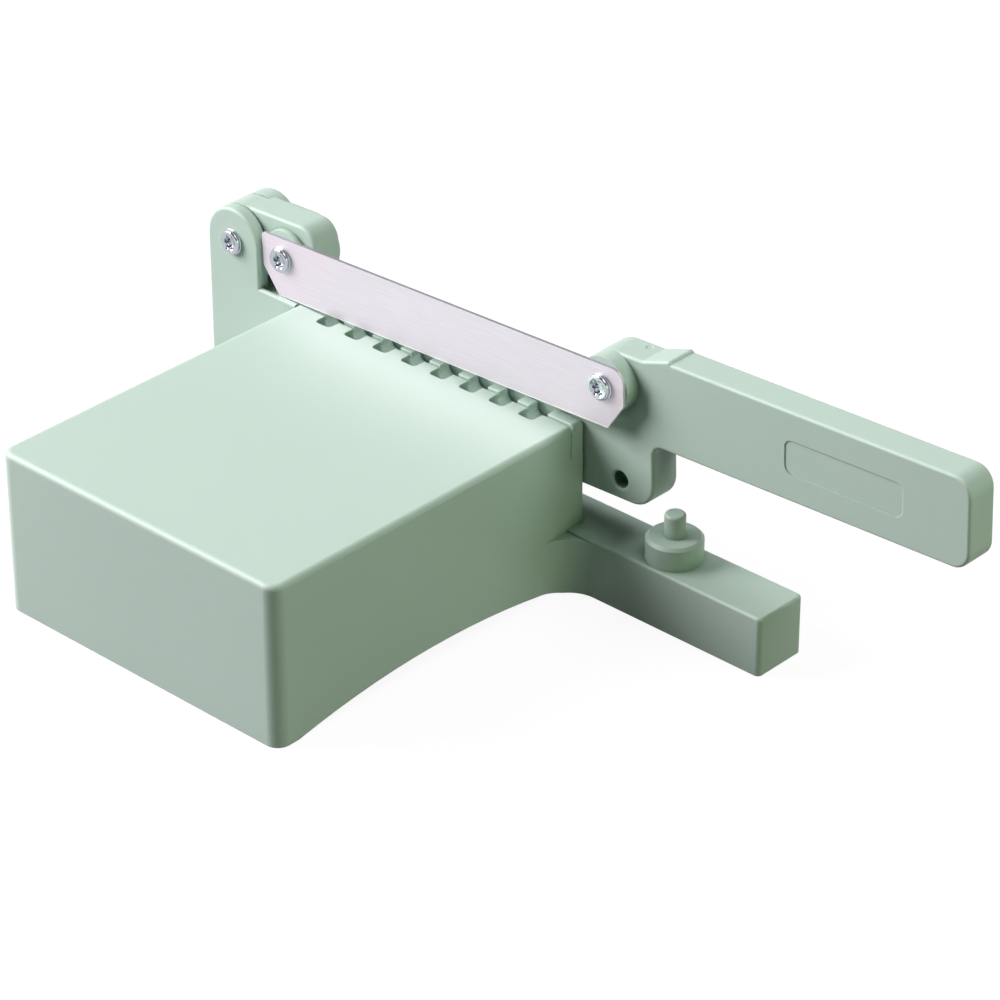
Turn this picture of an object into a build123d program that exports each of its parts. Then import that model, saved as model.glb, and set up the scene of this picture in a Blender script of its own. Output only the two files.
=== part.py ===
from build123d import *
import os
from math import cos, radians, sin

# Hand lever slicer for rice cakes.
# A hollow moulded base block carries the food. A swinging frame with a straight
# steel blade is hinged in a clevis at the block's rear left corner, and a grip
# sticks out at the right. The blade comes down into a slit along the front of a
# notched strip at the block's rear edge. A side arm of the base has a spring
# stud under the grip.
#
# All sizes are millimetres. X runs along the blade to the grip, Y to the rear,
# Z up. Everything is drawn from the block's front left bottom corner and is
# moved at the end, so that the origin lies under the middle of the whole part.
# The swinging frame is drawn level, with its pivot at zero, then turned up by
# the rest angle about the pivot.

os.makedirs("parts", exist_ok=True)

# Base block
block_width = 94.4
block_depth = 106.3
block_height = 44.5
side_wall = 2.6
top_wall = 3.2
rear_wall = 5.65
corner_radius = 3.7
top_edge_radius = 1.5
arch_rise = 4.4
arch_front_gap = 6.8
arch_rear_gap = 3.4
rib_thickness = 2.0
rib_floor_gap = 8.5
cells_across = 4
cells_deep = 4

# Notched cutting strip, seated in a rebate along the block's rear top edge
strip_height = 9.0
strip_setback = 1.2
strip_front_gap = 0.1
strip_end_gap = 0.15
slit_width = 1.0
slit_depth = 1.7
peg_radius = 1.2
peg_length = 4.0
peg_gap = 0.05
peg_spacing = 35.0
notch_count = 8
notch_pitch = 10.0
notch_width = 5.2
notch_depth = 3.5
notch_floor_radius = 2.4
notch_lead_in = 3.8
notch_corner_radius = 1.1
notch_row_offset = 0.3
notch_bed_thickness = 2.0
strip_notch_margin = 0.6

# Rear beam, side arm and spring stud
beam_depth = 16.1
beam_height = 16.2
beam_wall = 2.6
arm_reach = 62.1
arm_corner_radius = 1.3
arm_edge_radius = 0.8
arm_root_radius = 9.0
beam_cell_length = 21.0
collar_diameter = 14.6
collar_height = 6.4
collar_chamfer = 0.8
stud_diameter = 5.4
stud_height = 6.2
stud_edge_radius = 0.8
stud_to_arm_end = 34.0

# Clevis post at the left
post_reach = 31.4
ear_radius = 9.2
front_ear = 3.3
rear_ear = 4.9
slot_floor_gap = 2.1
shoulder_step = 1.0
ear_edge_radius = 0.8

# Pivot hardware: M4 screw, distance sleeve, two washers and a hex nut
thread_diameter = 4.0
hole_gap = 0.2
thread_gap = 0.05
head_diameter = 7.0
head_height = 1.5
head_edge_radius = 0.5
socket_radius = 1.35
socket_lobe_radius = 0.5
socket_depth = 1.0
dish_radius = 2.6
dish_depth = 0.3
screw_end_chamfer = 0.3
nut_across_flats = 7.0
nut_height = 3.2
nut_corner_trim = 0.1
nut_chamfer = 0.5
nut_pocket_depth = 3.4
nut_gap = 0.1
sleeve_diameter = 6.0
sleeve_fit = 0.05
sleeve_bore_gap = 0.1
washer_diameter = 12.0
washer_thickness = 0.5
washer_side_gap = 0.1

# Blade
blade_thickness = 0.8
blade_top = 5.3
blade_drop = 11.65
blade_strip_gap = 0.1
blade_overhang = 7.0
blade_screw_spacing = 109.45
blade_cut_width = 5.4
blade_cut_height = 7.6
blade_left_radius = 1.2
blade_right_radius = 3.8
edge_bevel_height = 2.2
edge_land = 0.2
front_bevel = 0.25
slit_entry = 0.85

# Swinging frame
rest_angle = 2.25
frame_gap = 0.6
frame_setback = 0.65
frame_edge_radius = 0.8
link_screw_distance = 16.62
link_screw_drop = 0.64
link_end_distance = 15.9
link_half_height = 7.6
link_top = 9.1
link_drop = 8.8
link_reach = 26.4
link_depth = 9.0
link_corner_radius = 5.5
boss_radius = 7.6
head_radius = 7.7
knuckle_clearance = 0.5
column_left_gap = 1.2
column_width = 9.4
bar_bottom = 33.5
bar_height = 22.1
window_right_gap = 18.0
window_radius = 1.8
web_width_past_screw = 11.9
web_corner_radius = 7.0
web_root_radius = 3.0
web_hole_past_screw = 1.2
web_hole_diameter = 4.6
web_hole_drop = 28.1
web_hole_chamfer = 0.5
grip_top = 9.0
grip_bottom = 15.0
grip_end_past_screw = 107.2
grip_corner_radius = 5.0
ramp_start_past_screw = 8.7
ramp_length = 8.5
lip_height = 0.7
lip_radius = 0.9
label_width = 35.0
label_height = 9.0
label_depth = 0.2
label_radius = 2.2
label_end_gap = 19.2
label_top_drop = 7.6

# Working values: how far a cut or a root passes the face it must reach, and how
# near counts as the same place when edges are chosen
overshoot = 1.0
touch = 0.01

# Places worked out from the sizes above
block_rear = block_depth
beam_front = block_rear - rear_wall
beam_rear = beam_front + beam_depth
arm_end = block_width + arm_reach
rebate_front = beam_front + strip_setback
strip_front = rebate_front + strip_front_gap
strip_top = block_height
shoulder_level = block_height - shoulder_step
strip_bottom = strip_top - strip_height
pivot_x = ear_radius - post_reach
pivot_z = strip_top - slit_entry + blade_drop
post_right = pivot_x + ear_radius
slot_front = beam_front + front_ear
slot_rear = beam_rear - rear_ear
slot_floor = pivot_z - ear_radius - slot_floor_gap
blade_front = strip_front + blade_strip_gap
blade_rear = blade_front + blade_thickness
frame_front = block_rear + frame_gap
frame_rear = beam_rear - frame_setback
knuckle_front = slot_front + washer_thickness + washer_side_gap
knuckle_rear = slot_rear - washer_thickness - washer_side_gap
link_rear = knuckle_front + link_depth
left_screw = link_screw_distance
right_screw = left_screw + blade_screw_spacing
screw_level = -link_screw_drop
head_top = screw_level + head_radius
blade_left = left_screw - blade_overhang
blade_right = right_screw + blade_overhang
column_left = ear_radius + column_left_gap
column_right = column_left + column_width
web_right = right_screw + web_width_past_screw
window_right = right_screw - window_right_gap
grip_end = right_screw + grip_end_past_screw
ramp_start = right_screw + ramp_start_past_screw
ramp_end = ramp_start + ramp_length
screw_hole_radius = thread_diameter / 2 + hole_gap
stud_x = arm_end - stud_to_arm_end
stud_y = (beam_front + beam_rear) / 2
web_hole_x = right_screw + web_hole_past_screw
pivot_nut_seat = beam_rear - nut_pocket_depth
blade_nut_seat = frame_rear - nut_pocket_depth
nut_pocket_width = nut_across_flats + 2 * nut_gap
rest_turn = Pos(pivot_x, 0, pivot_z) * Rot(Y=-rest_angle)


def block_between(x0, x1, y0, y1, z0, z1):
    """Box between two corners."""
    middle = Pos((x0 + x1) / 2, (y0 + y1) / 2, (z0 + z1) / 2)
    return middle * Box(x1 - x0, y1 - y0, z1 - z0)


def standing(sketch, y0, y1):
    """Outline drawn with X and Z as its axes, as thick as from y0 to y1."""
    return Pos(0, y1, 0) * Rot(X=90) * extrude(sketch, y1 - y0, dir=(0, 0, 1))


def area(x0, x1, z0, z1):
    """Flat rectangle between two corners."""
    return Pos((x0 + x1) / 2, (z0 + z1) / 2) * Rectangle(x1 - x0, z1 - z0)


def rod(x, z, y0, y1, radius):
    """Round bar along Y."""
    return standing(Pos(x, z) * Circle(radius), y0, y1)


def hex_prism(x, z, y0, y1, across_flats):
    """Hexagonal bar along Y."""
    hexagon = RegularPolygon(across_flats / 2, 6, major_radius=False)
    return standing(Pos(x, z) * hexagon, y0, y1)


def corners_at(sketch, places):
    """Corners of an outline that lie at the given places."""
    found = []
    for x, z in places:
        near = sketch.vertices().sort_by_distance(Vector(x, z, 0))
        found.append(near[0])
    return found


def block_shell():
    """Hollow block with rounded front corners, ribs inside and an open bottom."""
    outer = block_between(0, block_width, 0, block_rear, 0, block_height)
    upright = outer.edges().filter_by(Axis.Z).group_by(Axis.Y)[0]
    outer = fillet(upright, corner_radius)
    top_face = outer.faces().sort_by(Axis.Z)[-1]
    rounded = [e for e in top_face.edges() if e.center().Y < block_rear - touch]
    outer = fillet(rounded, top_edge_radius)
    inner_left = side_wall
    inner_right = block_width - side_wall
    inner_top = block_height - top_wall
    hollow = block_between(inner_left, inner_right, side_wall, beam_front,
                           -overshoot, inner_top)
    shell = outer - hollow
    for i in range(1, cells_across):
        x = inner_left + (inner_right - inner_left) * i / cells_across
        shell += block_between(x - rib_thickness / 2, x + rib_thickness / 2,
                               side_wall / 2, beam_front + overshoot,
                               rib_floor_gap, inner_top + overshoot)
    for i in range(1, cells_deep):
        y = side_wall + (beam_front - side_wall) * i / cells_deep
        shell += block_between(side_wall / 2, block_width - side_wall / 2,
                               y - rib_thickness / 2, y + rib_thickness / 2,
                               rib_floor_gap, inner_top + overshoot)
    bed_front = rebate_front - notch_lead_in - notch_bed_thickness
    bed_bottom = block_height - notch_depth - notch_bed_thickness
    shell += block_between(side_wall / 2, block_width - side_wall / 2,
                           bed_front, beam_front + overshoot,
                           bed_bottom, inner_top + overshoot)
    return shell


def side_arch():
    """Round bar that arches the lower edges of both side walls and of the arm's root."""
    span = beam_front - arch_rear_gap - arch_front_gap
    arch_radius = (span ** 2 / 4 + arch_rise ** 2) / (2 * arch_rise)
    length = block_width + 2 * (arm_root_radius + overshoot)
    bar = Rot(Y=90) * Cylinder(arch_radius, length)
    return Pos(block_width / 2, arch_front_gap + span / 2, arch_rise - arch_radius) * bar


def rear_beam():
    """Beam behind the block, from the clevis post to the block's right side."""
    beam = block_between(post_right, block_width, beam_front, beam_rear, 0, beam_height)
    top_rear = beam.edges().filter_by(Axis.X).group_by(Axis.Z)[-1].sort_by(Axis.Y)[-1]
    return fillet(top_rear, arm_edge_radius)


def side_arm():
    """Arm at the right with rounded edges and a wide root on the block's side."""
    arm = block_between(block_width - side_wall, arm_end, beam_front, beam_rear,
                        0, beam_height)
    end_edges = arm.edges().filter_by(Axis.Z).group_by(Axis.X)[-1]
    arm = fillet(end_edges, arm_corner_radius)
    top_face = arm.faces().sort_by(Axis.Z)[-1]
    inside = block_width - side_wall + touch
    rounded = [e for e in top_face.edges() if e.center().X > inside]
    arm = fillet(rounded, arm_edge_radius)
    corner = Pos(block_width + arm_root_radius / 2, beam_front - arm_root_radius / 2)
    root = corner * Rectangle(arm_root_radius, arm_root_radius)
    scoop = Pos(block_width + arm_root_radius, beam_front - arm_root_radius)
    root -= scoop * Circle(arm_root_radius)
    web = extrude(root, beam_height - arm_edge_radius)
    return arm + web


def beam_cells():
    """Pockets from below that leave the beam and the arm with even walls."""
    start = post_right + beam_wall
    end = arm_end - beam_wall
    count = round((end - start) / beam_cell_length)
    step = (end - start) / count
    cells = []
    for i in range(count):
        cells.append(block_between(start + i * step + rib_thickness / 2,
                                   start + (i + 1) * step - rib_thickness / 2,
                                   beam_front + beam_wall, beam_rear - beam_wall,
                                   -overshoot, beam_height - beam_wall))
    return cells


def spring_stud():
    """Collar and stud on the arm that a compression spring sits on."""
    collar = Cylinder(collar_diameter / 2, collar_height + overshoot)
    collar = chamfer(collar.edges().sort_by(Axis.Z)[-1], collar_chamfer)
    collar = Pos(stud_x, stud_y, beam_height + (collar_height - overshoot) / 2) * collar
    stud = Cylinder(stud_diameter / 2, stud_height + overshoot)
    stud = fillet(stud.edges().sort_by(Axis.Z)[-1], stud_edge_radius)
    collar_top = beam_height + collar_height
    stud = Pos(stud_x, stud_y, collar_top + (stud_height - overshoot) / 2) * stud
    return collar + stud


def clevis_post():
    """Post with two round ears, and the shoulder that joins it to the block."""
    ear = area(-post_reach, post_right, 0, pivot_z) + Pos(pivot_x, pivot_z) * Circle(ear_radius)
    shoulder = area(post_right - overshoot, 0, 0, block_height)
    front = standing(ear + shoulder, beam_front, slot_front)
    front_face = front.faces().sort_by(Axis.Y)[0]
    rounded = [e for e in front_face.edges()
               if e.center().Z > touch and e.center().X < -touch]
    front = fillet(rounded, ear_edge_radius)
    rear = standing(ear, slot_front, beam_rear)
    rear_face = rear.faces().sort_by(Axis.Y)[-1]
    rear = fillet([e for e in rear_face.edges() if e.center().Z > touch], ear_edge_radius)
    post = front + rear
    post += block_between(post_right - overshoot, side_wall, beam_front + overshoot,
                          block_rear, 0, shoulder_level)
    post -= block_between(post_right, 0, rebate_front, slot_front + overshoot,
                          shoulder_level, block_height + overshoot)
    post -= block_between(-post_reach - overshoot, post_right + overshoot,
                          slot_front, slot_rear,
                          slot_floor, pivot_z + ear_radius + overshoot)
    post -= rod(pivot_x, pivot_z, beam_front - overshoot, beam_rear + overshoot,
                screw_hole_radius)
    post -= hex_prism(pivot_x, pivot_z, pivot_nut_seat, beam_rear + overshoot,
                      nut_pocket_width)
    pocket_top = slot_floor - 2 * beam_wall
    post -= block_between(-post_reach + beam_wall, post_right - beam_wall,
                          beam_front + beam_wall, beam_rear - beam_wall,
                          -overshoot, pocket_top)
    return post


def notch_places():
    """Left edge of each notch along the strip."""
    row_middle = block_width / 2 + notch_row_offset
    first = row_middle - notch_pitch * (notch_count - 1) / 2 - notch_width / 2
    return [first + notch_pitch * i for i in range(notch_count)]


def notch_section(left, width):
    """Section of one notch, seen along Y, with a rounded bottom."""
    bottom = block_height - notch_depth
    section = area(left, left + width, bottom, block_height + overshoot)
    corners = corners_at(section, [(left, bottom), (left + width, bottom)])
    return fillet(corners, notch_floor_radius)


def base_notches():
    """Notches in the block's top, open towards the strip."""
    cuts = []
    for left in notch_places():
        channel = standing(notch_section(left, notch_width),
                           rebate_front - notch_lead_in - overshoot,
                           rebate_front + overshoot)
        plan = Pos(left + notch_width / 2, rebate_front - (notch_lead_in - overshoot) / 2)
        shape = plan * Rectangle(notch_width, notch_lead_in + overshoot)
        front_corners = shape.vertices().group_by(Axis.Y)[0]
        shape = fillet(front_corners, notch_corner_radius)
        cut = extrude(shape, notch_depth + overshoot)
        cuts.append(channel & Pos(0, 0, block_height - notch_depth) * cut)
    return cuts


def peg_places():
    """Places of the strip's locating pegs along X."""
    middle = block_width / 2 + notch_row_offset
    return [middle - peg_spacing, middle + peg_spacing]


def make_base_body():
    body = block_shell() + [rear_beam(), side_arm()]
    body -= side_arch()
    body += clevis_post()
    body -= beam_cells()
    body += spring_stud()
    body -= block_between(0, block_width + overshoot, rebate_front, block_rear + overshoot,
                          strip_bottom, block_height + overshoot)
    body -= base_notches()
    peg_y = (strip_front + block_rear) / 2
    for x in peg_places():
        hole = Cylinder(peg_radius + peg_gap, 2 * (peg_length + peg_gap))
        body -= Pos(x, peg_y, strip_bottom) * hole
    return body


def make_cutting_strip():
    """Strip flush with the block's top, with a slit for the blade along its front.

    Behind each notch in the block it has a wider one of its own.
    """
    strip = block_between(strip_end_gap, block_width, strip_front + strip_end_gap,
                          block_rear, strip_bottom, strip_top)
    strip -= block_between(-overshoot, block_width + overshoot,
                           strip_front - overshoot, strip_front + slit_width,
                           strip_top - slit_depth, strip_top + overshoot)
    end_edges = strip.edges().filter_by(Axis.Y).group_by(Axis.Z)[-1]
    strip = fillet(end_edges, top_edge_radius)
    top_edges = strip.edges().filter_by(Axis.X).group_by(Axis.Z)[-1]
    strip = chamfer(top_edges, strip_end_gap)
    for left in notch_places():
        wide = notch_section(left - strip_notch_margin,
                             notch_width + 2 * strip_notch_margin)
        strip -= standing(wide, strip_front - overshoot, block_rear + overshoot)
    peg_y = (strip_front + block_rear) / 2
    for x in peg_places():
        peg = Cylinder(peg_radius, peg_length + overshoot)
        strip += Pos(x, peg_y, strip_bottom + (overshoot - peg_length) / 2) * peg
    return strip


def frame_outline():
    """Side view of the swinging frame: link, column, bar, web and grip."""
    foot = -bar_bottom
    link = area(0, link_end_distance, -link_half_height, link_half_height)
    link += Pos(link_end_distance, 0) * Circle(link_half_height)
    column = area(column_left, column_right, foot, 0)
    bar = area(column_left, web_right, foot, foot + bar_height)
    web = area(window_right, web_right, foot, -link_half_height)
    web_top_left = corners_at(web, [(window_right, -link_half_height)])
    web = fillet(web_top_left, window_radius)
    grip = Polygon((right_screw, -grip_bottom), (grip_end, -grip_bottom),
                   (grip_end, grip_top), (ramp_end + lip_height, grip_top),
                   (ramp_end, grip_top + lip_height), (ramp_start, head_top),
                   (right_screw, head_top), align=None)
    head = Pos(right_screw, screw_level) * Circle(head_radius)
    head += area(right_screw - link_half_height, right_screw, -grip_bottom, 0)
    outline = link + column + bar + web + grip + head
    outline = fillet(corners_at(outline, [(column_right, foot + bar_height),
                                          (window_right, foot + bar_height)]), window_radius)
    outline = fillet(corners_at(outline, [(column_left, foot), (web_right, foot)]),
                     web_corner_radius)
    outline = fillet(corners_at(outline, [(web_right, -grip_bottom)]), web_root_radius)
    outline = fillet(corners_at(outline, [(grip_end, grip_top), (grip_end, -grip_bottom)]),
                     grip_corner_radius)
    outline = fillet(corners_at(outline, [(ramp_end, grip_top + lip_height)]), lip_radius)
    return outline


def flat_topped_link():
    """Bar that stands out from the knuckle, flush with its front, to past the blade's screw."""
    section = area(0, link_reach, -link_drop, link_top)
    corners = corners_at(section, [(link_reach, link_top), (link_reach, -link_drop)])
    bar = standing(fillet(corners, link_corner_radius), knuckle_front, link_rear)
    faces = bar.faces().sort_by(Axis.Y)
    edges = [e for e in faces[0].edges() + faces[-1].edges() if e.center().X > touch]
    return fillet(edges, frame_edge_radius)


def make_lever_frame():
    body = standing(frame_outline(), frame_front, frame_rear)
    faces = body.faces().sort_by(Axis.Y)
    body = fillet(faces[0].edges() + faces[-1].edges(), frame_edge_radius)
    for u in (left_screw, right_screw):
        boss = rod(u, screw_level, blade_rear, frame_rear, boss_radius)
        boss_end = boss.edges().sort_by(Axis.Y)[-1]
        body += fillet(boss_end, frame_edge_radius)
    body += flat_topped_link()
    keep_out = ear_radius + knuckle_clearance
    swing = Circle(keep_out) + area(-keep_out, keep_out, -keep_out, 0)
    body -= standing(swing, knuckle_rear, frame_rear + overshoot)
    body -= standing(Circle(keep_out), blade_rear - overshoot, knuckle_front)
    behind = area(-keep_out, 0, -keep_out, keep_out)
    body -= standing(behind, frame_front - overshoot, knuckle_rear)
    body += rod(0, 0, knuckle_front, knuckle_rear, ear_radius)
    body -= rod(0, 0, knuckle_front - overshoot, knuckle_rear + overshoot,
                sleeve_diameter / 2 + sleeve_fit)
    for u in (left_screw, right_screw):
        body -= rod(u, screw_level, blade_rear - overshoot, frame_rear + overshoot,
                    screw_hole_radius)
        body -= hex_prism(u, screw_level, blade_nut_seat, frame_rear + overshoot,
                          nut_pocket_width)
    hole = rod(web_hole_x, -web_hole_drop, frame_front - overshoot, frame_rear + overshoot,
               web_hole_diameter / 2)
    body -= hole
    for y, way in ((frame_front, 1), (frame_rear, -1)):
        rim = Cone(web_hole_diameter / 2 + web_hole_chamfer, web_hole_diameter / 2,
                   web_hole_chamfer)
        rim = Rot(X=-90 * way) * rim
        body -= Pos(web_hole_x, y + way * web_hole_chamfer / 2, -web_hole_drop) * rim
    label = RectangleRounded(label_width, label_height, label_radius)
    label_middle = Pos(grip_end - label_end_gap - label_width / 2,
                       grip_top - label_top_drop - label_height / 2)
    body -= standing(label_middle * label, frame_front - overshoot, frame_front + label_depth)
    return body


def make_blade():
    """Flat blade with both lower corners cut away and a ground lower edge."""
    bottom = -blade_drop
    cut_top = bottom + blade_cut_height
    plan = Polygon((blade_left, blade_top), (blade_left, cut_top),
                   (blade_left + blade_cut_width, bottom),
                   (blade_right - blade_cut_width, bottom), (blade_right, cut_top),
                   (blade_right, blade_top), align=None)
    plan = fillet(corners_at(plan, [(blade_left, blade_top)]), blade_left_radius)
    plan = fillet(corners_at(plan, [(blade_right, blade_top)]), blade_right_radius)
    for u in (left_screw, right_screw):
        plan -= Pos(u, screw_level) * Circle(screw_hole_radius)
    blade = standing(plan, blade_front, blade_rear)
    ground = blade_rear - blade_front - edge_land - front_bevel
    rear_wedge = Polygon((blade_rear, bottom + edge_bevel_height),
                         (blade_rear - ground, bottom),
                         (blade_rear + overshoot, bottom - overshoot),
                         (blade_rear + overshoot, bottom + edge_bevel_height), align=None)
    front_wedge = Polygon((blade_front, bottom + front_bevel),
                          (blade_front + front_bevel, bottom),
                          (blade_front - overshoot, bottom - overshoot),
                          (blade_front - overshoot, bottom + front_bevel), align=None)
    for wedge in (rear_wedge, front_wedge):
        side_view = Plane(origin=(blade_left - overshoot, 0, 0), x_dir=(0, 1, 0),
                          z_dir=(1, 0, 0))
        length = blade_right - blade_left + 2 * overshoot
        blade -= extrude(side_view * wedge, length, dir=(1, 0, 0))
    return blade


def make_screw(length):
    """Socket head screw along Y with its head's underside at zero."""
    head = rod(0, 0, -head_height, 0, head_diameter / 2)
    head = fillet(head.edges().sort_by(Axis.Y)[0], head_edge_radius)
    dish = Cone(dish_radius, socket_radius, dish_depth)
    head -= Pos(0, -head_height + dish_depth / 2, 0) * Rot(X=-90) * dish
    socket = Circle(socket_radius)
    for place in PolarLocations(socket_radius, 6):
        socket += place * Circle(socket_lobe_radius)
    head -= standing(socket, -head_height - overshoot,
                     -head_height + dish_depth + socket_depth)
    shank = rod(0, 0, -touch, length, thread_diameter / 2 - thread_gap)
    shank = chamfer(shank.edges().sort_by(Axis.Y)[-1], screw_end_chamfer)
    return head + shank


def make_nut():
    """Hex nut along Y from zero, with its corners turned round."""
    nut = hex_prism(0, 0, 0, nut_height, nut_across_flats)
    turned = rod(0, 0, 0, nut_height, nut_across_flats / 3 ** 0.5 - nut_corner_trim)
    turned = chamfer(turned.edges().sort_by(Axis.Y)[-1], nut_chamfer)
    nut = nut & turned
    return nut - rod(0, 0, -overshoot, nut_height + overshoot, thread_diameter / 2)


def make_ring(y0, y1, outer_radius, inner_radius):
    """Ring about the pivot between two places along Y."""
    ring = rod(0, 0, y0, y1, outer_radius)
    return ring - rod(0, 0, y0 - overshoot, y1 + overshoot, inner_radius)


pivot_screw_length = pivot_nut_seat + nut_height - beam_front
blade_screw_length = blade_nut_seat + nut_height - blade_front
at_pivot = Pos(pivot_x, 0, pivot_z)
sleeve_radius = sleeve_diameter / 2
sleeve_bore = thread_diameter / 2 + sleeve_bore_gap
washer_bore = sleeve_radius + sleeve_fit

pieces = {
    "base_body": make_base_body(),
    "cutting_strip": make_cutting_strip(),
    "pivot_screw": at_pivot * Pos(0, beam_front, 0) * make_screw(pivot_screw_length),
    "pivot_sleeve": at_pivot * make_ring(slot_front, slot_rear, sleeve_radius, sleeve_bore),
    "pivot_washer_front": at_pivot * make_ring(
        slot_front, slot_front + washer_thickness, washer_diameter / 2, washer_bore),
    "pivot_washer_rear": at_pivot * make_ring(
        slot_rear - washer_thickness, slot_rear, washer_diameter / 2, washer_bore),
    "pivot_nut": at_pivot * Pos(0, pivot_nut_seat, 0) * make_nut(),
    "lever_frame": rest_turn * make_lever_frame(),
    "blade": rest_turn * make_blade(),
}
for side, u in (("left", left_screw), ("right", right_screw)):
    screw = Pos(u, blade_front, screw_level) * make_screw(blade_screw_length)
    pieces["blade_screw_" + side] = rest_turn * screw
    nut = Pos(u, blade_nut_seat, screw_level) * make_nut()
    pieces["blade_nut_" + side] = rest_turn * nut

# Origin under the middle of the whole part at rest
boxes = [piece.bounding_box() for piece in pieces.values()]
left_end = min(box.min.X for box in boxes)
right_end = max(box.max.X for box in boxes)
front_end = min(box.min.Y for box in boxes)
rear_end = max(box.max.Y for box in boxes)
floor = min(box.min.Z for box in boxes)
highest = max(box.max.Z for box in boxes)
middle_x = (left_end + right_end) / 2
middle_y = (front_end + rear_end) / 2
to_origin = Pos(-middle_x, -middle_y, -floor)
for name, piece in pieces.items():
    print(name, type(piece).__name__, len(piece.solids()), round(piece.volume, 1))
    export_step(to_origin * piece, "parts/" + name + ".step")


def report_place(label, x, y, z):
    """Print one place in the part's own frame, in millimetres."""
    print(label, round(x - middle_x, 4), round(y - middle_y, 4), round(z - floor, 4))


def report_frame_place(label, u, y, w):
    """Print a place on the swinging frame at rest."""
    turn = radians(rest_angle)
    report_place(label, pivot_x + u * cos(turn) - w * sin(turn), y,
                 pivot_z + u * sin(turn) + w * cos(turn))


print("size", round(right_end - left_end, 3), round(rear_end - front_end, 3),
      round(highest - floor, 3))
report_place("pivot", pivot_x, (slot_front + slot_rear) / 2, pivot_z)
report_place("stud root", stud_x, stud_y, beam_height + collar_height)
report_place("block corner", 0, 0, 0)
report_frame_place("web hole front", web_hole_x, frame_front, -web_hole_drop)
report_frame_place("web hole rear", web_hole_x, frame_rear, -web_hole_drop)
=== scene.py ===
import math

import bpy
from mathutils import Matrix, Vector


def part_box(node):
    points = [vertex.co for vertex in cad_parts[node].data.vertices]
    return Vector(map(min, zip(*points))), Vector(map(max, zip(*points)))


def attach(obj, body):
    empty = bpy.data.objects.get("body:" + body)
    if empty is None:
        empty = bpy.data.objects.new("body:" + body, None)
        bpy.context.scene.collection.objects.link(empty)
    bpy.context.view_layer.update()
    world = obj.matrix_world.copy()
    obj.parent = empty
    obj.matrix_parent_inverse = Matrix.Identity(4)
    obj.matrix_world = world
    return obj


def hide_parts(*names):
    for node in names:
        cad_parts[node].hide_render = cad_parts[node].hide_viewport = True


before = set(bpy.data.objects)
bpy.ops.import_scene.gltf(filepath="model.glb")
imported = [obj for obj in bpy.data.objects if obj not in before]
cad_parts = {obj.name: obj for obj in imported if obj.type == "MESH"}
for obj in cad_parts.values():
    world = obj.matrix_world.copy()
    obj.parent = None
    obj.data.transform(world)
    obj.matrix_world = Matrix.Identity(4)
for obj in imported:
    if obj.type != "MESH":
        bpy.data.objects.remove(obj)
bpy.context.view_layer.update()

bl_info = {
    "name": "Rice cake slicer",
    "version": (1, 0, 0),
    "blender": (4, 5, 0),
    "location": "3D View > Sidebar > Slicer",
    "description": "Finishes the packed model of a hand slicer: mouldings, blade, screws and stage",
    "category": "Object",
}

MM = 0.001

# How far the lever stands open at rest, and the height of the blade's lower edge once the
# blade is turned level about the origin
REST_ANGLE = math.radians(2.25)
BLADE_EDGE_LEVEL = 48.01 * MM

# Middle of the gate mark on the lever's top, from the photograph
GATE_MARK = Vector((19.0, 55.4, 67.5)) * MM

# The screw head from the middle of the recess out to its flange: depth below the face,
# radius and how far the six lobes reach, in millimetres. The recess is drawn at its
# middle radius.
RECESS_RADIUS = 1.8
RECESS_LOBES = 6
HEAD_ROWS = (
    (1.3, 0, 0),
    (1.3, 1.65, 0.18),
    (1.22, RECESS_RADIUS, 0.25),
    (0.3, RECESS_RADIUS, 0.25),
    (0.2, 2.0, 0.2),
    (0.04, 2.4, 0),
    (0, 2.52, 0),
    (0, 2.9, 0),
    (0.06, 3.08, 0),
    (0.2, 3.22, 0),
    (0.42, 3.28, 0),
    (0.74, 3.28, 0),
    (0.82, 3.08, 0),
    (0.94, 3.08, 0),
    (1.0, 3.42, 0),
    (1.08, 3.5, 0),
    (1.4, 3.5, 0),
    (1.5, 3.4, 0),
)
HEAD_HEIGHT = HEAD_ROWS[-1][0]

# First and last row of the head that move when the recess is made wider, counted from 0
RECESS_ROWS = (1, 4)

# The screw's thread and its tip, whose corner is cut at 45 degrees, in millimetres
CREST_RADIUS = 1.95
THREAD_DEPTH = 0.34
TIP_RADIUS = 1.5

# One half of the nut from the bore outwards: depth below the face and the largest radius,
# which cuts the hexagon's corners off, in millimetres
NUT_ROWS = ((0, 2.35), (0, 3.3), (0.13, 3.62), (0.36, 3.94))
NUT_HEIGHT = 3.2
NUT_HALF_WIDTH = 3.5
BORE_RADIUS = 2.0
BORE_THREAD_DEPTH = 0.2

# Corners round one ring of a screw or nut, and rings along their threads
COLUMNS = 60
THREAD_ROWS = 130
BORE_ROWS = 26

# Edges of a screw or nut that turn further than this stay sharp
SHARP_ANGLE = math.radians(38)

# The photograph's camera, solved from the straight edges of the block, the arm and the
# lever: the picture's width and the focal length in pixels, the roll, the point near the
# block's middle that the distance is measured to, and how far the camera stands from that
# line towards its own right and its own top
PHOTO_WIDTH = 1000
PHOTO_FOCAL_LENGTH = 4217.399
SENSOR_WIDTH = 36
CAMERA_ROLL = math.radians(-0.015)
CAMERA_TARGET = Vector((-43.9433, -0.875, 23.0)) * MM
CAMERA_ASIDE = 48.322 * MM
CAMERA_RISE = 0.729 * MM

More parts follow.
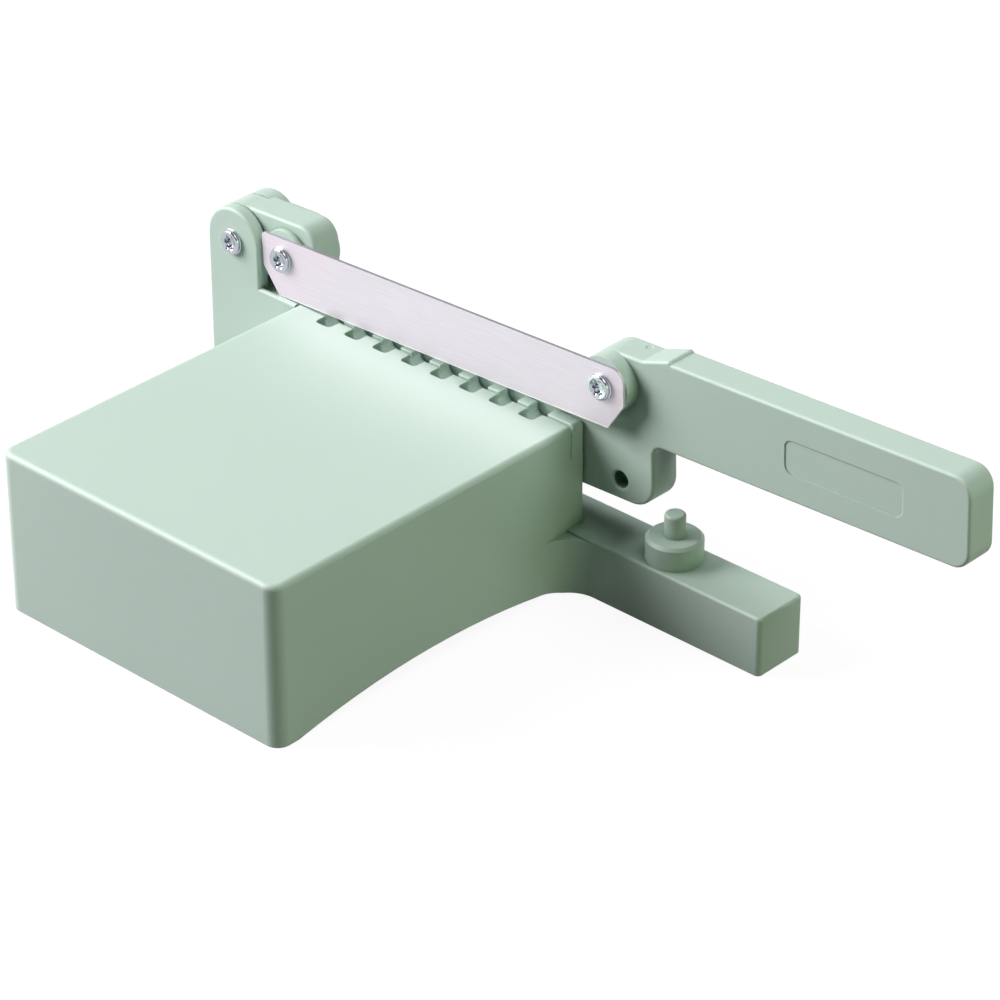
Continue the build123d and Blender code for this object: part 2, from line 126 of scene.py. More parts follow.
# Each lamp's name, place, target and width in metres, power in watts, and colour
LAMPS = (
    ("key", (-1.05, -0.63, 0.76), (-0.03, 0, 0.03), 1.0, 34.5, "FFFBFB"),
    ("top", (0.5, 0.35, 1.2), (0, 0, 0.03), 0.6, 7.0, "FFFFFF"),
    ("right", (0.9, 0.03, 0.3), (0, 0, 0.03), 0.3, 1.5, "E6FFBE"),
)

# Half the floor's width in metres, and its level, just under the part's flat underside
FLOOR_REACH = 6.0
FLOOR_LEVEL = -0.2 * MM


def linear(hex_colour):
    """An sRGB hex colour as the linear numbers that sockets and lamps take."""
    channels = [int(hex_colour[i:i + 2], 16) / 255 for i in (0, 2, 4)]
    return tuple(
        c / 12.92 if c <= 0.04045 else ((c + 0.055) / 1.055) ** 2.4 for c in channels
    )


def colour_setting(name, description, hex_colour):
    """A colour that the user can change."""
    return bpy.props.FloatVectorProperty(
        name=name,
        description=description,
        subtype="COLOR",
        size=3,
        min=0,
        max=1,
        default=linear(hex_colour),
    )


class MouldingSettings(bpy.types.PropertyGroup):
    colour: colour_setting("Colour", "Colour of the pale sage plastic", "C1D6CC")
    grain: bpy.props.FloatProperty(
        name="Grain",
        description="Size of the fine spark-eroded grain that the mould leaves",
        default=0.35 * MM,
        min=0.05 * MM,
        unit="LENGTH",
    )
    edge_round: bpy.props.FloatProperty(
        name="Edge rounding",
        description="Radius that the mould leaves on edges which look sharp",
        default=0.22 * MM,
        min=0,
        unit="LENGTH",
    )


class BladeSettings(bpy.types.PropertyGroup):
    colour: colour_setting("Colour", "Colour of the ground stainless steel strip", "EAE3EC")
    scratch: bpy.props.FloatProperty(
        name="Grinding lines",
        description="Distance between the fine lines that the belt leaves on the flat",
        default=0.4 * MM,
        min=0.05 * MM,
        unit="LENGTH",
    )


class ScrewSettings(bpy.types.PropertyGroup):
    recess_radius: bpy.props.FloatProperty(
        name="Recess radius",
        description="Middle radius of the six-lobed recess in the screw heads",
        default=RECESS_RADIUS * MM,
        min=1.0 * MM,
        unit="LENGTH",
    )
    pitch: bpy.props.FloatProperty(
        name="Thread pitch",
        description="Distance from one turn of the thread to the next",
        default=0.7 * MM,
        min=0.3 * MM,
        unit="LENGTH",
    )


class StageSettings(bpy.types.PropertyGroup):
    azimuth: bpy.props.FloatProperty(
        name="Camera azimuth",
        description="Turn of the camera round the part from the front towards the right",
        default=math.radians(42.810),
        subtype="ANGLE",
    )
    elevation: bpy.props.FloatProperty(
        name="Camera elevation",
        description="Height of the camera above the floor as an angle",
        default=math.radians(30.776),
        subtype="ANGLE",
    )
    distance: bpy.props.FloatProperty(
        name="Camera distance",
        description="Distance from the camera to the block's middle, along the line of sight",
        default=1.039265,
        unit="LENGTH",
    )
    backdrop: colour_setting(
        "Backdrop", "Colour of the floor and of what is behind it", "FEFEFE"
    )


class SlicerSettings(bpy.types.PropertyGroup):
    moulding: bpy.props.PointerProperty(type=MouldingSettings)
    blade: bpy.props.PointerProperty(type=BladeSettings)
    screws: bpy.props.PointerProperty(type=ScrewSettings)
    stage: bpy.props.PointerProperty(type=StageSettings)


def add_node(tree, kind, settings=None, inputs=None):
    """Adds one node, sets its own settings, and fills or links its inputs."""
    node = tree.nodes.new(kind)
    for name, value in (settings or {}).items():
        setattr(node, name, value)
    for socket, value in (inputs or {}).items():
        if isinstance(value, bpy.types.NodeSocket):
            tree.links.new(value, node.inputs[socket])
        else:
            node.inputs[socket].default_value = value
    return node


def calc(tree, operation, first, second=0.0):
    """One sum on two values or sockets."""
    node = add_node(tree, "ShaderNodeMath", {"operation": operation}, {0: first, 1: second})
    return node.outputs[0]


def new_material(name, surface):
    """A material whose one shader is a Principled BSDF with these plain values on its sockets."""
    material = bpy.data.materials.new(name)
    material.use_nodes = True
    tree = material.node_tree
    tree.nodes.clear()
    shader = add_node(tree, "ShaderNodeBsdfPrincipled", inputs=surface)
    add_node(tree, "ShaderNodeOutputMaterial", inputs={"Surface": shader.outputs[0]})
    return material, tree, shader


def shade(colour, red, green, blue):
    """A colour with these shares of its red, green and blue left."""
    return (colour[0] * red, colour[1] * green, colour[2] * blue, 1)


def object_place(tree):
    """The place on the piece, which goes with it when it moves."""
    return add_node(tree, "ShaderNodeTexCoord").outputs["Object"]


def noise(tree, place, size, detail, roughness=0.5):
    """Cloudy noise from 0 to 1 with lumps of about this size."""
    node = add_node(
        tree,
        "ShaderNodeTexNoise",
        inputs={"Vector": place, "Scale": 1 / size, "Detail": detail, "Roughness": roughness},
    )
    return node.outputs["Fac"]


def spread(tree, value, start, end, low=0.0, high=1.0):
    """A value that goes from low to high as another goes from start to end."""
    node = add_node(
        tree,
        "ShaderNodeMapRange",
        inputs={
            "Value": value,
            "From Min": start,
            "From Max": end,
            "To Min": low,
            "To Max": high,
        },
    )
    return node.outputs["Result"]


def blend(tree, share, first, second):
    """A colour between two others, at this share of the way."""
    node = add_node(
        tree,
        "ShaderNodeMix",
        {"data_type": "RGBA"},
        {"Factor": share, "A": first, "B": second},
    )
    return node.outputs["Result"]


def relief(tree, height, strength, depth, **under):
    """The surface's direction with a relief of this depth on it, over its Normal if given."""
    node = add_node(
        tree,
        "ShaderNodeBump",
        inputs={"Strength": strength, "Distance": depth, "Height": height, **under},
    )
    return node.outputs["Normal"]


def moulded_abs(settings):
    """Pale sage ABS, injection moulded in a fine spark-eroded mould.

    It gives the eye a soft gloss with a slightly cloudy body, a grain that is only seen
    in the highlights, faint flow clouds, edges that are never quite sharp, and the small
    round gate mark on the lever's top. Notches, holes and inner corners get painted shade:
    the colour turns deep green where the piece's own ambient occlusion says light is
    blocked. The grain is drawn coarser than the real one so that it shows.
    """
    material, tree, shader = new_material(
        "moulded_sage_abs",
        {
            "Base Color": (*settings.colour, 1),
            "Roughness": 0.42,
            "IOR": 1.54,
            "Specular IOR Level": 0.36,
            "Subsurface Weight": 0.2,
            "Subsurface Radius": (0.9, 1.0, 0.7),
            "Subsurface Scale": 2.0 * MM,
        },
    )
    place = object_place(tree)
    cloud_size = 38 * MM
    clouds = noise(tree, place, cloud_size, detail=2.0)
    cloud_colour = shade(settings.colour, 0.955, 0.955, 0.955)
    tint = blend(tree, clouds, (*settings.colour, 1), cloud_colour)
    # Painted shade: the colour darkens to deep green in the piece's own notches, holes and corners,
    # by ambient occlusion
    shade_occlusion = add_node(
        tree,
        "ShaderNodeAmbientOcclusion",
        {"samples": 8, "only_local": True},
        {"Distance": 10 * MM},
    )
    unshaded_share = spread(tree, shade_occlusion.outputs["AO"], 0.22, 0.78)
    painted_shade_green = shade(settings.colour, 0.16, 0.3, 0.18)
    shade_painted_tint = blend(tree, unshaded_share, painted_shade_green, tint)
    tree.links.new(shade_painted_tint, shader.inputs["Base Color"])
    gloss = spread(tree, clouds, 0, 1, low=0.36, high=0.47)
    tree.links.new(gloss, shader.inputs["Roughness"])
    rounded = add_node(
        tree, "ShaderNodeBevel", {"samples": 6}, {"Radius": settings.edge_round}
    )
    grain = noise(tree, place, settings.grain, detail=1.0)
    grained = relief(tree, grain, 0.16, 0.02 * MM, Normal=rounded.outputs["Normal"])
    from_gate = add_node(
        tree, "ShaderNodeVectorMath", {"operation": "DISTANCE"}, {0: place, 1: GATE_MARK}
    )
    dimple = spread(tree, from_gate.outputs["Value"], 0.7 * MM, 1.1 * MM)
    dimpled = relief(tree, dimple, 0.8, 0.25 * MM, Normal=grained)
    tree.links.new(dimpled, shader.inputs["Normal"])
    return material


def ground_stainless(settings):
    """Stainless steel strip, belt ground along its length, with a painted dark reflection along its
    back edge.

    It gives the eye a pale even metal with hair-fine lines along the blade, drawn coarser
    than the real ones so that they show, a painted highlight along the cutting edge, where
    the colour turns white, and a painted dark reflection on the faces that look upwards,
    which draws a thin dark line along the blade's back.
    """
    material, tree, shader = new_material(
        "ground_stainless_steel",
        {"Base Color": (*settings.colour, 1), "Metallic": 1.0, "Roughness": 0.55},
    )
    level = add_node(
        tree,
        "ShaderNodeMapping",
        inputs={"Vector": object_place(tree), "Rotation": (0, REST_ANGLE, 0)},
    ).outputs["Vector"]
    line_stretch = 25
    along = add_node(
        tree,
        "ShaderNodeMapping",
        inputs={"Vector": level, "Scale": (1 / line_stretch, 1, 1)},
    ).outputs["Vector"]
    lines = noise(tree, along, settings.scratch, detail=3.0, roughness=0.7)
    gloss = spread(tree, lines, 0, 1, low=0.58, high=0.72)
    tree.links.new(gloss, shader.inputs["Roughness"])
    dull = shade(settings.colour, 0.84, 0.84, 0.84)
    tint = blend(tree, lines, (*settings.colour, 1), dull)
    # Painted dark reflection: faces that look upwards in the world take a darker grey, which draws
    # a line along the blade's back
    facing = add_node(tree, "ShaderNodeNewGeometry").outputs["True Normal"]
    upward = add_node(tree, "ShaderNodeSeparateXYZ", inputs={0: facing}).outputs["Z"]
    painted_dark_back = spread(tree, upward, 0.8, 0.95)
    dark_back_tint = blend(tree, painted_dark_back, tint, (*linear("BAB8C0"), 1))
    # Painted highlight: a thin band just above the cutting edge turns white
    height = add_node(tree, "ShaderNodeSeparateXYZ", inputs={0: level}).outputs["Z"]
    highlight_low = BLADE_EDGE_LEVEL + 0.4 * MM
    highlight_high = BLADE_EDGE_LEVEL + 0.6 * MM
    painted_edge_highlight = spread(tree, height, highlight_low, highlight_high, low=1.0, high=0.0)
    edge_highlighted = blend(tree, painted_edge_highlight, dark_back_tint, (*linear("FFFFFF"), 1))
    tree.links.new(edge_highlighted, shader.inputs["Base Color"])
    scratched = relief(tree, lines, 0.25, 0.01 * MM)
    tree.links.new(scratched, shader.inputs["Normal"])
    return material


def bright_plating():
    """Bright nickel plating on cold-headed steel screws and nuts.

    It gives the eye sharp small highlights, dark in the recess and on the rim.
    """
    material, tree, shader = new_material(
        "bright_nickel_plate",
        {"Base Color": (*linear("CDD2DA"), 1), "Metallic": 1.0, "Roughness": 0.16},
    )
    haze_size = 0.8 * MM
    haze = noise(tree, object_place(tree), haze_size, detail=2.0)
    gloss = spread(tree, haze, 0, 1, low=0.1, high=0.2)
    tree.links.new(gloss, shader.inputs["Roughness"])
    return material


def turned_steel():
    """Plain steel tube, turned to length.

    It gives the eye a metal that is duller than plating, with rings round it, drawn
    coarser than the real ones so that they show.
    """
    material, tree, shader = new_material(
        "turned_steel",
        {"Base Color": (*linear("B9B7B2"), 1), "Metallic": 1.0, "Roughness": 0.35},
    )
    ring_gap = 0.758 * MM
    # Bands that the pattern has in one metre at a scale of 1
    bands_in_one_metre = 10 / math.pi
    rings = add_node(
        tree,
        "ShaderNodeTexWave",
        {"bands_direction": "Y"},
        {
            "Vector": object_place(tree),
            "Scale": 1 / (bands_in_one_metre * ring_gap),
            "Distortion": 0.6,
        },
    )
    ringed = relief(tree, rings.outputs["Fac"], 0.2, 0.01 * MM)
    tree.links.new(ringed, shader.inputs["Normal"])
    return material


def natural_nylon():
    """Natural nylon, stamped from sheet.

    It gives the eye a milky white, waxy surface that is a little see-through.
    """
    material, tree, shader = new_material(
        "stamped_natural_nylon",
        {
            "Base Color": (*linear("E9E6DC"), 1),
            "Roughness": 0.5,
            "IOR": 1.53,
            "Subsurface Weight": 0.4,
            "Subsurface Radius": (1.0, 0.95, 0.8),
            "Subsurface Scale": 1.5 * MM,
        },
    )
    wax_size = 1.2 * MM
    wax = noise(tree, object_place(tree), wax_size, detail=2.0)
    gloss = spread(tree, wax, 0, 1, low=0.42, high=0.6)
    tree.links.new(gloss, shader.inputs["Roughness"])
    return material


def new_geometry_tree(name, sockets):
    """An empty Geometry Nodes tree with these named inputs and one mesh output."""
    tree = bpy.data.node_groups.new(name, "GeometryNodeTree")
    for label, kind in sockets:
        tree.interface.new_socket(label, in_out="INPUT", socket_type=kind)
    tree.interface.new_socket("Mesh", in_out="OUTPUT", socket_type="NodeSocketGeometry")
    inputs = add_node(tree, "NodeGroupInput").outputs
    return tree, inputs


def pick(tree, row, values):
    """The value that belongs to a row, from a short list."""
    node = add_node(tree, "GeometryNodeIndexSwitch", {"data_type": "FLOAT"})
    for _ in range(len(values) - 2):
        node.index_switch_items.new()
    tree.links.new(row, node.inputs[0])
    for i, value in enumerate(values):
        node.inputs[i + 1].default_value = value
    return node.outputs[0]


def choose(tree, test, where_true, where_false):
    """One value where the test holds, and another where it doesn't."""
    node = add_node(
        tree,
        "GeometryNodeSwitch",
        {"input_type": "FLOAT"},
        {"Switch": test, "False": where_false, "True": where_true},
    )
    return node.outputs[0]


def ring_fields(tree, rows):
    """The angle and the row number at each corner of a flat grid of rings."""
    place = add_node(tree, "GeometryNodeInputPosition").outputs[0]
    axes = add_node(tree, "ShaderNodeSeparateXYZ", inputs={0: place}).outputs
    column = calc(tree, "ADD", axes["X"], COLUMNS / 2)
    angle = calc(tree, "MULTIPLY", column, 2 * math.pi / COLUMNS)
    row = calc(tree, "ROUND", calc(tree, "ADD", axes["Y"], (rows - 1) / 2))
    return angle, row


def ring_mesh(tree, rows, angle, depth, radius):
    """Rolls the grid up round the Y axis, each row at its depth and radius, in millimetres.

    Its faces are turned over at the end, because the rolled grid faces its own axis.
    """
    grid = add_node(
        tree,
        "GeometryNodeMeshGrid",
        inputs={
            "Size X": COLUMNS,
            "Size Y": rows - 1,
            "Vertices X": COLUMNS + 1,
            "Vertices Y": rows,
        },
    )
    across = calc(tree, "MULTIPLY", radius, calc(tree, "COSINE", angle))
    upward = calc(tree, "MULTIPLY", radius, calc(tree, "SINE", angle))
    place = add_node(tree, "ShaderNodeCombineXYZ", inputs={0: across, 1: depth, 2: upward})
    small = add_node(
        tree,
        "ShaderNodeVectorMath",
        {"operation": "SCALE"},
        {0: place.outputs[0], "Scale": MM},
    )
    rolled = add_node(
        tree,
        "GeometryNodeSetPosition",
        inputs={"Geometry": grid.outputs["Mesh"], "Position": small.outputs[0]},
    )
    joined = add_node(
        tree,
        "GeometryNodeMergeByDistance",
        inputs={"Geometry": rolled.outputs[0], "Distance": 0.002 * MM},
    )
    outward = add_node(tree, "GeometryNodeFlipFaces", inputs={0: joined.outputs[0]})
    return outward.outputs[0]


ROW_SOCKETS = (
    ("Place", "NodeSocketVector"),
    ("Tilt", "NodeSocketFloat"),
    ("Count", "NodeSocketInt"),
    ("Spacing", "NodeSocketFloat"),
    ("Material", "NodeSocketMaterial"),
)


def row_of(tree, piece, inputs):
    """Repeats a piece along a tilted line and gives it its material."""
    step = add_node(tree, "ShaderNodeCombineXYZ", inputs={0: inputs["Spacing"]})
    line = add_node(
        tree,
        "GeometryNodeMeshLine",
        inputs={"Count": inputs["Count"], "Offset": step.outputs[0]},
    )
    copies = add_node(
        tree,
        "GeometryNodeInstanceOnPoints",
        inputs={"Points": line.outputs[0], "Instance": piece},
    )
    angles = add_node(tree, "ShaderNodeCombineXYZ", inputs={1: inputs["Tilt"]})
    turn = add_node(tree, "FunctionNodeEulerToRotation", inputs={0: angles.outputs[0]})
    moved = add_node(
        tree,
        "GeometryNodeTransform",
        inputs={
            "Geometry": copies.outputs[0],
            "Translation": inputs["Place"],
            "Rotation": turn.outputs[0],
        },
    )
    solid = add_node(tree, "GeometryNodeRealizeInstances", inputs={0: moved.outputs[0]})
    coated = add_node(
        tree,
        "GeometryNodeSetMaterial",
        inputs={"Geometry": solid.outputs[0], "Material": inputs["Material"]},
    )
    add_node(tree, "NodeGroupOutput", inputs={0: coated.outputs[0]})


def thread_wave(tree, angle, depth, pitch):
    """From 0 on the crest of a thread to 1 at its root, along a right-hand helix."""
    turns = calc(tree, "DIVIDE", angle, 2 * math.pi)
    wave = calc(tree, "ADD", calc(tree, "DIVIDE", depth, pitch), turns)
    return calc(tree, "MULTIPLY", calc(tree, "PINGPONG", wave, 0.5), 2.0)


def head_radius(tree, angle, row, recess_radius):
    """The screw head's radius, with the six lobes in its recess."""
    lobe_wave = calc(tree, "COSINE", calc(tree, "MULTIPLY", angle, RECESS_LOBES))
    reach = pick(tree, row, [lobe for _, _, lobe in HEAD_ROWS])
    lobes = calc(tree, "MULTIPLY", reach, lobe_wave)
    first, last = RECESS_ROWS
    from_middle = calc(tree, "ABSOLUTE", calc(tree, "SUBTRACT", row, (first + last) / 2))
    in_recess = calc(tree, "LESS_THAN", from_middle, (last - first + 1) / 2)
    change = calc(tree, "SUBTRACT", recess_radius, RECESS_RADIUS)
    widening = calc(tree, "MULTIPLY", change, in_recess)
    drawn = pick(tree, row, [radius for _, radius, _ in HEAD_ROWS])
    return calc(tree, "ADD", calc(tree, "ADD", drawn, widening), lobes)


def screw_tree():
    """Socket head screw with a six-lobed recess and a rolled thread, as a row of copies."""
    sockets = (
        ("Length", "NodeSocketFloat"),
        ("Recess", "NodeSocketFloat"),
        ("Pitch", "NodeSocketFloat"),
    )
    tree, inputs = new_geometry_tree("screw_row", sockets + ROW_SOCKETS)
    head_rows = len(HEAD_ROWS)
    rows = head_rows + THREAD_ROWS + 1
    angle, row = ring_fields(tree, rows)
    in_head = calc(tree, "LESS_THAN", row, head_rows - 0.5)
    along = calc(tree, "DIVIDE", calc(tree, "SUBTRACT", row, head_rows), THREAD_ROWS - 1)
    shank = calc(tree, "SUBTRACT", inputs["Length"], HEAD_HEIGHT)
    shank_depth = calc(tree, "ADD", calc(tree, "MULTIPLY", along, shank), HEAD_HEIGHT)
    shank_depth = calc(tree, "MINIMUM", shank_depth, inputs["Length"])
    head_depth = pick(tree, row, [depth for depth, _, _ in HEAD_ROWS])
    depth = choose(tree, in_head, head_depth, shank_depth)
    root = calc(tree, "MULTIPLY", thread_wave(tree, angle, depth, inputs["Pitch"]), THREAD_DEPTH)
    thread = calc(tree, "SUBTRACT", CREST_RADIUS, root)
    tip = calc(tree, "ADD", calc(tree, "SUBTRACT", inputs["Length"], depth), TIP_RADIUS)
    body = calc(tree, "MINIMUM", thread, tip)
    before_last = calc(tree, "LESS_THAN", row, rows - 1.5)
    body = calc(tree, "MULTIPLY", body, before_last)
    head = head_radius(tree, angle, row, inputs["Recess"])
    radius = choose(tree, in_head, head, body)
    row_of(tree, ring_mesh(tree, rows, angle, depth, radius), inputs)
    return tree


def nut_tree():
    """Hexagon nut with turned corners and a threaded bore, as a row of copies."""
    tree, inputs = new_geometry_tree("nut_row", (("Pitch", "NodeSocketFloat"),) + ROW_SOCKETS)
    mirrored = [(NUT_HEIGHT - depth, limit) for depth, limit in reversed(NUT_ROWS)]
    outside = list(NUT_ROWS) + mirrored
    rows = len(outside) + BORE_ROWS + 1
    angle, row = ring_fields(tree, rows)
    is_outside = calc(tree, "LESS_THAN", row, len(outside) - 0.5)
    outside_depth = pick(tree, row, [depth for depth, _ in outside])
    rows_left = calc(tree, "SUBTRACT", rows - 1, row)
    bore_depth = calc(tree, "MULTIPLY", rows_left, NUT_HEIGHT / (BORE_ROWS + 1))
    depth = choose(tree, is_outside, outside_depth, bore_depth)
    sixth = calc(tree, "SUBTRACT", calc(tree, "MODULO", angle, math.pi / 3), math.pi / 6)
    hexagon = calc(tree, "DIVIDE", NUT_HALF_WIDTH, calc(tree, "COSINE", sixth))
    limit = pick(tree, row, [limit for _, limit in outside])
    outline = calc(tree, "MINIMUM", hexagon, limit)
    wave = thread_wave(tree, angle, depth, inputs["Pitch"])
    bore = calc(tree, "ADD", calc(tree, "MULTIPLY", wave, BORE_THREAD_DEPTH), BORE_RADIUS)
    is_last = calc(tree, "GREATER_THAN", row, rows - 1.5)
    bore = choose(tree, is_last, NUT_ROWS[0][1], bore)
    radius = choose(tree, is_outside, outline, bore)
    row_of(tree, ring_mesh(tree, rows, angle, depth, radius), inputs)
    return tree


def grow(name, tree, values):
    """Runs a tree with these values and keeps its result as a plain mesh."""
    holder = bpy.data.objects.new(name, bpy.data.meshes.new(name + "_seed"))
    bpy.context.scene.collection.objects.link(holder)
    modifier = holder.modifiers.new("grow", "NODES")
    for item in tree.interface.items_tree:
        if item.in_out == "INPUT":
            modifier[item.identifier] = values[item.name]
    modifier.node_group = tree
    depsgraph = bpy.context.evaluated_depsgraph_get()
    mesh = bpy.data.meshes.new_from_object(holder.evaluated_get(depsgraph))
    mesh.name = name
    holder.modifiers.remove(modifier)
    holder.data = mesh
    mesh.shade_smooth()
    mesh.set_sharp_from_angle(angle=SHARP_ANGLE)
    return holder


def face_middle(node):
    """Middle of a fastener's front face, and its length along Y, from its CAD box."""
    low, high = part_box(node)
    middle = ((low[0] + high[0]) / 2, low[1], (low[2] + high[2]) / 2)
    return Vector(middle), high[1] - low[1]


def finish_node(name, material):
    """Gives a CAD node its material."""
    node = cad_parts[name]
    node.data.materials.clear()
    node.data.materials.append(material)


class SLICER_OT_mouldings(bpy.types.Operator):
    """Finish the sage plastic block, strip and lever"""

    bl_idname = "slicer.mouldings"
    bl_label = "Plastic mouldings"

    def execute(self, context):
        plastic = moulded_abs(context.scene.slicer.moulding)
        for name in ("base_body", "cutting_strip", "lever_frame"):
            finish_node(name, plastic)
        return {"FINISHED"}


class SLICER_OT_blade(bpy.types.Operator):
    """Finish the steel blade"""

    bl_idname = "slicer.blade"
    bl_label = "Blade"

    def execute(self, context):
        finish_node("blade", ground_stainless(context.scene.slicer.blade))
        return {"FINISHED"}


class SLICER_OT_fasteners(bpy.types.Operator):
    """Finish the screws, nuts, sleeve and washers"""

    bl_idname = "slicer.fasteners"
    bl_label = "Screws and pivot"

    def execute(self, context):
        settings = context.scene.slicer.screws
        plating = bright_plating()
        steel = turned_steel()
        nylon = natural_nylon()
        trees = {"screw": screw_tree(), "nut": nut_tree()}
        rows = (
            ("screw_at_pivot", "screw", "base", ("pivot_screw",)),
            ("nut_at_pivot", "nut", "base", ("pivot_nut",)),
            ("screws_at_blade", "screw", "lever", ("blade_screw_left", "blade_screw_right")),
            ("nuts_at_blade", "nut", "lever", ("blade_nut_left", "blade_nut_right")),
        )
        for name, kind, body, nodes in rows:
            first, length = face_middle(nodes[0])
            last, _ = face_middle(nodes[-1])
            run = last - first
            values = {
                "Length": length / MM,
                "Recess": settings.recess_radius / MM,
                "Pitch": settings.pitch / MM,
                "Place": first,
                "Tilt": -math.atan2(run.z, run.x) if len(nodes) > 1 else 0.0,
                "Count": len(nodes),
                "Spacing": run.length,
                "Material": plating,
            }
            piece = grow(name, trees[kind], values)
            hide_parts(*nodes)
            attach(piece, body)
        finish_node("pivot_sleeve", steel)
        for name in ("pivot_washer_front", "pivot_washer_rear"):
            finish_node(name, nylon)
        return {"FINISHED"}


def area_lamp(name, place, target, width, watts, colour):
    """A soft square lamp at a place, turned to face a target."""
    light = bpy.data.lights.new(name, "AREA")
    light.shape = "SQUARE"
    light.size = width
    light.energy = watts
    light.color = linear(colour)
    lamp = bpy.data.objects.new(name, light)
    lamp.location = place
    lamp.rotation_euler = (Vector(place) - Vector(target)).to_track_quat("Z", "Y").to_euler()
    bpy.context.scene.collection.objects.link(lamp)


def place_camera(settings):
    """The camera at the photograph's viewing angle."""
    azimuth, elevation = settings.azimuth, settings.elevation
    back = Vector((
        math.sin(azimuth) * math.cos(elevation),
        -math.cos(azimuth) * math.cos(elevation),
        math.sin(elevation),
    ))
    right = Vector((math.cos(azimuth), math.sin(azimuth), 0))
    up = back.cross(right)
    across = right * math.cos(CAMERA_ROLL) + up * math.sin(CAMERA_ROLL)
    upward = up * math.cos(CAMERA_ROLL) - right * math.sin(CAMERA_ROLL)
    eye = CAMERA_TARGET + back * settings.distance
    eye = eye + across * CAMERA_ASIDE + upward * CAMERA_RISE
    lens = bpy.data.cameras.new("camera")
    lens.sensor_width = SENSOR_WIDTH
    lens.lens = PHOTO_FOCAL_LENGTH * SENSOR_WIDTH / PHOTO_WIDTH
    lens.clip_start = 0.01
    lens.clip_end = 20
    camera = bpy.data.objects.new("camera", lens)
    axes = Matrix((across, upward, back)).transposed()
    camera.matrix_world = Matrix.Translation(eye) @ axes.to_4x4()
    bpy.context.scene.collection.objects.link(camera)
    bpy.context.scene.camera = camera


def white_world(backdrop):
    """Dim light all round, a white backdrop for the camera and a room for the reflections.

    The room is white at floor level, where the backdrop is, and dark towards the ceiling.
    """
    world = bpy.data.worlds.new("studio")
    world.use_nodes = True
    tree = world.node_tree
    tree.nodes.clear()
    path = add_node(tree, "ShaderNodeLightPath").outputs
    seen = calc(tree, "MAXIMUM", path["Is Camera Ray"], path["Is Transmission Ray"])
    way = add_node(tree, "ShaderNodeTexCoord").outputs["Generated"]
    height = add_node(tree, "ShaderNodeSeparateXYZ", inputs={0: way}).outputs["Z"]
    room = add_node(
        tree,
        "ShaderNodeMapRange",
        {"interpolation_type": "SMOOTHSTEP"},
        {"Value": height, "From Min": 0.04, "From Max": 0.35, "To Min": 0.9, "To Max": 0.12},
    )
    around = add_node(
        tree,
        "ShaderNodeMix",
        {"data_type": "FLOAT"},
        {"Factor": path["Is Glossy Ray"], "A": 0.03, "B": room.outputs["Result"]},
    )
    strength = add_node(
        tree,
        "ShaderNodeMix",
        {"data_type": "FLOAT"},
        {"Factor": seen, "A": around.outputs["Result"], "B": 1.0},
    )
    light = add_node(
        tree,
        "ShaderNodeBackground",
        inputs={"Color": (*backdrop, 1), "Strength": strength.outputs["Result"]},
    )
    add_node(tree, "ShaderNodeOutputWorld", inputs={"Surface": light.outputs[0]})
    bpy.context.scene.world = world


def floor_paper(backdrop):
    """White background paper, with the part's soft shadow on it.

    Its own glow makes it white to the camera, and the little light from the lamps that it
    throws back carries the shadow.
    """
    material = bpy.data.materials.new("white_background_paper")
    material.use_nodes = True
    tree = material.node_tree
    tree.nodes.clear()
    path = add_node(tree, "ShaderNodeLightPath").outputs
    seen = calc(tree, "MAXIMUM", path["Is Camera Ray"], path["Is Glossy Ray"])
    seen = calc(tree, "MAXIMUM", seen, path["Is Transmission Ray"])
    glow = spread(tree, path["Is Glossy Ray"], 0, 1, low=0.93, high=0.7)
    glow = calc(tree, "MULTIPLY", seen, glow)
    paper = add_node(tree, "ShaderNodeBsdfDiffuse", inputs={"Color": (0.12, 0.12, 0.12, 1)})
    light = add_node(
        tree,
        "ShaderNodeEmission",
        inputs={"Color": (*backdrop, 1), "Strength": glow},
    )
    both = add_node(
        tree, "ShaderNodeAddShader", inputs={0: paper.outputs[0], 1: light.outputs[0]}
    )
    add_node(tree, "ShaderNodeOutputMaterial", inputs={"Surface": both.outputs[0]})
    return material


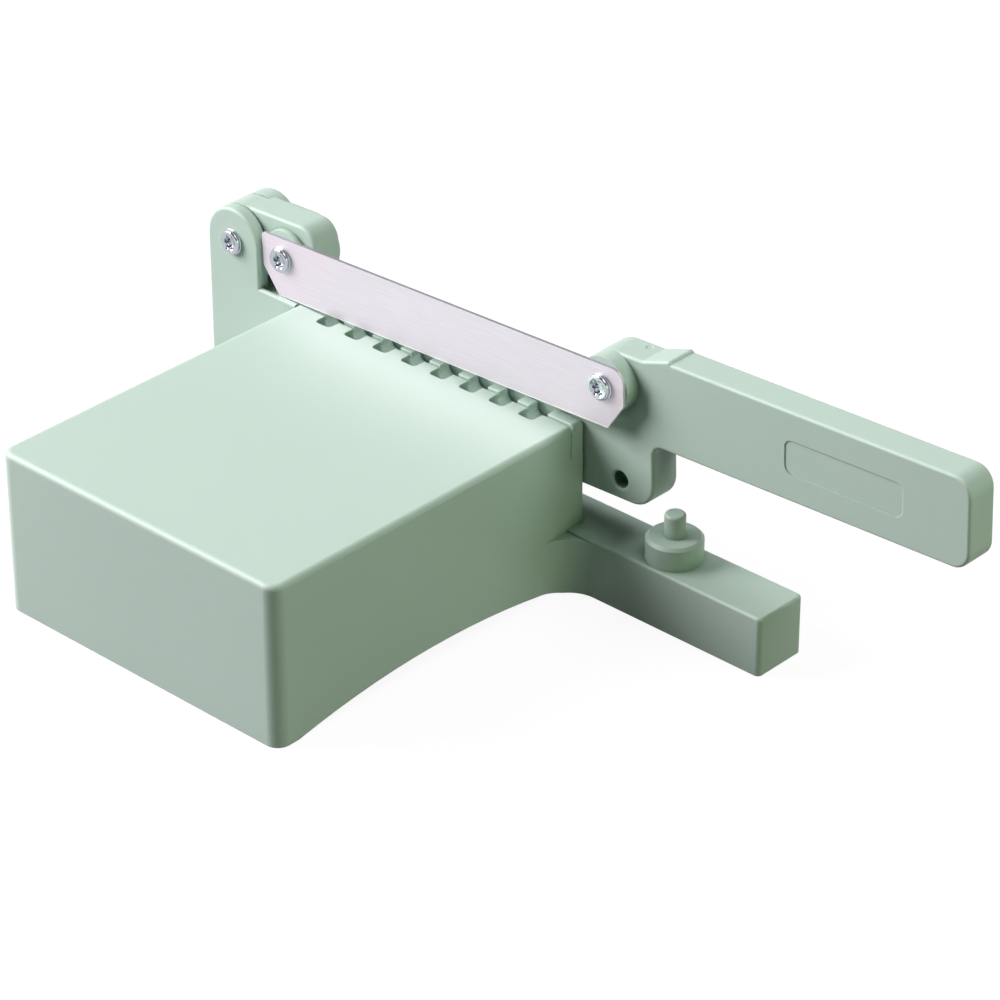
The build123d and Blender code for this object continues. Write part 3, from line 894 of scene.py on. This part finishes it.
def floor_sheet(backdrop):
    """The square of paper that the part stands on."""
    reach, level = FLOOR_REACH, FLOOR_LEVEL
    corners = ((-reach, -reach), (reach, -reach), (reach, reach), (-reach, reach))
    mesh = bpy.data.meshes.new("floor")
    mesh.from_pydata([(x, y, level) for x, y in corners], [], [(0, 1, 2, 3)])
    mesh.materials.append(floor_paper(backdrop))
    floor = bpy.data.objects.new("floor", mesh)
    bpy.context.scene.collection.objects.link(floor)
    return floor


class SLICER_OT_stage(bpy.types.Operator):
    """Set up the white floor, the lamps and the camera"""

    bl_idname = "slicer.stage"
    bl_label = "Stage"

    def execute(self, context):
        settings = context.scene.slicer.stage
        backdrop = tuple(settings.backdrop)
        floor = floor_sheet(backdrop)
        white_world(backdrop)
        for lamp in LAMPS:
            area_lamp(*lamp)
        place_camera(settings)
        context.scene.view_settings.view_transform = "Standard"
        return {"FINISHED"}


class SLICER_PT_sidebar(bpy.types.Panel):
    """Lists the slicer's sizes, colours and steps"""

    bl_idname = "SLICER_PT_sidebar"
    bl_label = "Rice cake slicer"
    bl_space_type = "VIEW_3D"
    bl_region_type = "UI"
    bl_category = "Slicer"

    def draw(self, context):
        settings = context.scene.slicer
        groups = (
            (settings.moulding, SLICER_OT_mouldings),
            (settings.blade, SLICER_OT_blade),
            (settings.screws, SLICER_OT_fasteners),
            (settings.stage, SLICER_OT_stage),
        )
        for group, step in groups:
            box = self.layout.box()
            for name in group.__annotations__:
                box.prop(group, name)
            box.operator(step.bl_idname)


CLASSES = (
    MouldingSettings,
    BladeSettings,
    ScrewSettings,
    StageSettings,
    SlicerSettings,
    SLICER_OT_mouldings,
    SLICER_OT_blade,
    SLICER_OT_fasteners,
    SLICER_OT_stage,
    SLICER_PT_sidebar,
)


def register():
    for cls in CLASSES:
        bpy.utils.register_class(cls)
    bpy.types.Scene.slicer = bpy.props.PointerProperty(type=SlicerSettings)


def unregister():
    del bpy.types.Scene.slicer
    for cls in reversed(CLASSES):
        bpy.utils.unregister_class(cls)


def main():
    register()
    bpy.ops.slicer.mouldings()
    bpy.ops.slicer.blade()
    bpy.ops.slicer.fasteners()
    bpy.ops.slicer.stage()


if __name__ == "__main__":
    main()
